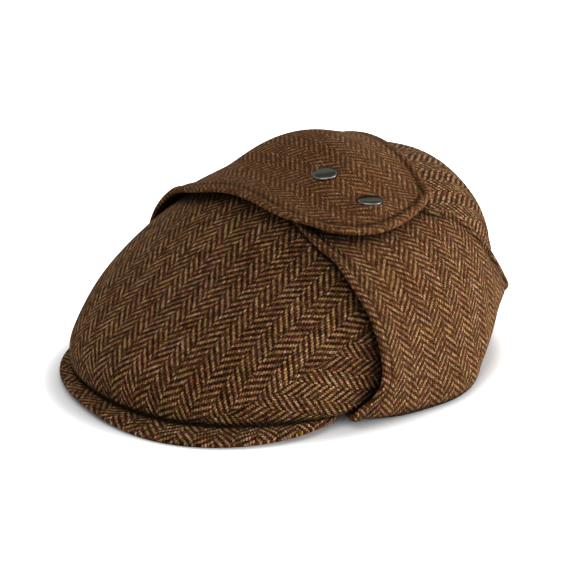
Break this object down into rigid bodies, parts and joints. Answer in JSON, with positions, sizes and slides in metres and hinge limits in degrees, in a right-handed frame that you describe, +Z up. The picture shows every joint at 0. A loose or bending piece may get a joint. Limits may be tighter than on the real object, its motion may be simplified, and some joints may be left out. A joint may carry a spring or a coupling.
{
  "type": "flat cap with ear flaps",
  "caption": "Herringbone tweed flat cap with a short peak and two broad ear flaps folded up over the crown and held by dark snaps.",
  "frame": {"origin": "centre of the cap's box on the surface it rests on", "axes": "+X to the wearer's left, +Y to the back of the head, the peak at -Y, +Z up"},
  "size_m": [0.217, 0.2506, 0.1226],
  "materials": {
    "tweed": "woven wool tweed in dark brown and tan herringbone, matt",
    "snap_metal": "dark gunmetal plating, polished"
  },
  "bodies": {
    "root": {"crown_top": "tweed", "side_panel_left": "tweed", "side_panel_right": "tweed", "peak": "tweed", "earflap_left": "tweed", "earflap_right": "tweed", "snap_inner": "snap_metal", "snap_outer": "snap_metal"}
  },
  "joints": []
}
